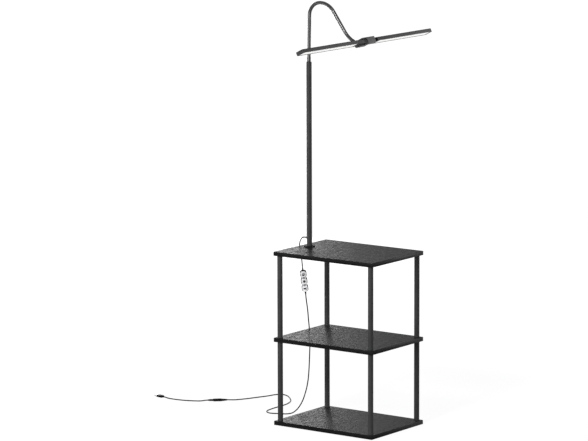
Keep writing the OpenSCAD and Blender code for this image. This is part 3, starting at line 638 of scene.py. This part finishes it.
def pill(width, height, corner, steps=5):
    """A rectangle with rounded corners."""
    outline = []
    for k, (sx, sz) in enumerate(((1, 1), (-1, 1), (-1, -1), (1, -1))):
        for step in range(steps + 1):
            turn = math.radians(90 * (k + step / steps))
            outline.append((sx * (width / 2 - corner) + corner * math.cos(turn),
                            sz * (height / 2 - corner) + corner * math.sin(turn)))
    return outline


def open_ring(outer, inner, gap, steps=40):
    """A ring with an opening of gap degrees at its top."""
    turns = [math.radians(90 + gap / 2 + (360 - gap) * k / steps) for k in range(steps + 1)]
    outline = [(outer * math.cos(a), outer * math.sin(a)) for a in turns]
    return outline + [(inner * math.cos(a), inner * math.sin(a)) for a in reversed(turns)]


def make_marks():
    """Printed signs on the three buttons and dark inlays in the two windows between them."""
    signs = (
        ("power", 1, [open_ring(4.9, 1.7, 84), bar(2.4, 4.6, z=2.9)]),
        ("brighter", 0, [bar(9.2, 4.4), bar(4.4, 2.4, z=3.4), bar(4.4, 2.4, z=-3.4)]),
        ("dimmer", -1, [bar(9.4, 5.0)]),
    )
    for name, lobe, outlines in signs:
        place = CONTROLLER_PLACE @ Matrix.Translation(Vector((0, 0, lobe * LOBE_PITCH)) * MM)
        printed(f"{name}_sign", outlines, BUTTON_FACE - PRINT_SINK, BUTTON_FACE + SIGN_HEIGHT, place,
                BLACK_MARK, f"{name}_key")
    for name, step in (("upper", 0.5), ("lower", -0.5)):
        place = CONTROLLER_PLACE @ Matrix.Translation(Vector((0, 0, step * LOBE_PITCH)) * MM)
        printed(f"{name}_window_inlay", [pill(7.3, 4.6, 0.75)], WINDOW_FLOOR - PRINT_SINK,
                WINDOW_FLOOR + INLAY_HEIGHT, place, BLACK_MARK, "base")


def make_cord_pieces():
    rounded_node("controller_back", BLACK_PLASTIC, 0.9, 3)
    front = rounded_node("controller_front", WHITE_SHELL, 1.2, 3)
    # Painted shade: the white front shell's rounded rim is black round the face
    paint(front, BLACK_PLASTIC, CONTROLLER_PLACE,
          lambda centre, normal: abs(normal.y) < FRONT_FACING)
    finish_node("controller_board", CIRCUIT)
    for button in ("power_button", "brighter_button", "dimmer_button"):
        rounded_node(button, WHITE_CAP, 0.35, 3)
    make_marks()
    rounded_node("coupling", JACKET, 0.4, 3)
    plug = rounded_node("usb_plug", JACKET, 0.3, 2)
    paint(plug, ZINC, PLUG_PLACE, lambda centre, normal: centre.x > PLUG_BODY_END)


def make_cords():
    upper, upper_line = cord("cord_upper_flex", CORD_UPPER, "cord_upper")
    lower, lower_line = cord("cord_lower_flex", CORD_LOWER, "cord_lower")
    tail, tail_line = cord("cord_tail_flex", CORD_TAIL, "cord_tail")


# Stage and light

FILL_COLOUR = (0.30, 0.30, 0.31, 1)
FLOOR_RADIUS = 14
FLOOR_DROP = 0.0002
FLOOR_GREY = 0.16
# The floor's own light grows from near the object to far from it
NEAR_REACH, NEAR_LEVEL = 0.8, 0.88
FAR_REACH, FAR_LEVEL = 7, 1


def seen_or_mirrored(tree):
    """1 for what the camera sees itself, in a reflection or through glass, and otherwise 0."""
    path = tree.nodes.new("ShaderNodeLightPath")
    first = maths(tree, "MAXIMUM", path.outputs["Is Camera Ray"], path.outputs["Is Glossy Ray"])
    return maths(tree, "MAXIMUM", first, path.outputs["Is Transmission Ray"])


def add_world():
    world = bpy.data.worlds.new("studio")
    bpy.context.scene.world = world
    world.use_nodes = True
    tree = world.node_tree
    background = tree.nodes["Background"]
    mix = tree.nodes.new("ShaderNodeMix")
    mix.data_type = "RGBA"
    mix.inputs["A"].default_value = FILL_COLOUR
    mix.inputs["B"].default_value = (1, 1, 1, 1)
    tree.links.new(seen_or_mirrored(tree), mix.inputs["Factor"])
    tree.links.new(mix.outputs["Result"], background.inputs["Color"])


def add_floor():
    form = bmesh.new()
    bmesh.ops.create_circle(form, cap_ends=True, radius=FLOOR_RADIUS, segments=96)
    mesh = bpy.data.meshes.new("floor")
    form.to_mesh(mesh)
    form.free()
    floor = link("floor", mesh)
    floor.location.z = -FLOOR_DROP
    material = bpy.data.materials.new("white_floor")
    material.use_nodes = True
    tree = material.node_tree
    tree.nodes.remove(tree.nodes["Principled BSDF"])
    matt = tree.nodes.new("ShaderNodeBsdfDiffuse")
    matt.inputs["Color"].default_value = (FLOOR_GREY, FLOOR_GREY, FLOOR_GREY, 1)
    glow = tree.nodes.new("ShaderNodeEmission")
    where = tree.nodes.new("ShaderNodeTexCoord")
    out = tree.nodes.new("ShaderNodeVectorMath")
    out.operation = "LENGTH"
    tree.links.new(where.outputs["Object"], out.inputs[0])
    level = tree.nodes.new("ShaderNodeMapRange")
    level.inputs["From Min"].default_value = NEAR_REACH
    level.inputs["From Max"].default_value = FAR_REACH
    level.inputs["To Min"].default_value = NEAR_LEVEL
    level.inputs["To Max"].default_value = FAR_LEVEL
    tree.links.new(out.outputs["Value"], level.inputs["Value"])
    tree.links.new(
        maths(tree, "MULTIPLY", seen_or_mirrored(tree), level.outputs["Result"]), glow.inputs["Strength"]
    )
    both = tree.nodes.new("ShaderNodeAddShader")
    tree.links.new(matt.outputs[0], both.inputs[0])
    tree.links.new(glow.outputs[0], both.inputs[1])
    tree.links.new(both.outputs[0], tree.nodes["Material Output"].inputs["Surface"])
    mesh.materials.append(material)


def add_lamp(name, place, target, width, height, power):
    """A soft rectangular lamp at place, turned to target; metres and watts."""
    data = bpy.data.lights.new(name, "AREA")
    data.shape = "RECTANGLE"
    data.size, data.size_y = width, height
    data.energy = power
    lamp = bpy.data.objects.new(name, data)
    lamp.location = place
    lamp.rotation_euler = (Vector(target) - Vector(place)).to_track_quat("-Z", "Y").to_euler()
    lamp.visible_camera = False
    bpy.context.scene.collection.objects.link(lamp)


def add_lamps():
    add_lamp("broad_front", (0.4, -4.5, 1.15), (0, 0, 0.7), 3.3, 2.2, 170)
    add_lamp("back_right", (2.4, 3.3, 0.7), (0, 0, 0.6), 1.2, 2.0, 80)
    add_lamp("low_back", (-2.65, 2.47, 0.8), (-0.05, 0, 0.3), 1.2, 1.9, 60)
    add_lamp("upper_front", (0.45, -3.3, 2.7), (-0.05, 0, 1.36), 0.7, 0.7, 85)
    add_lamp("controller_fill", (-1.1, -1.2, 0.75), (-0.216, 0.046, 0.46), 0.6, 0.6, 6)


make_cord_pieces()
make_cords()
make_table()
make_pole()
make_neck()
make_head()
add_world()
add_floor()
add_lamps()

bpy.context.scene.view_settings.view_transform = "Standard"
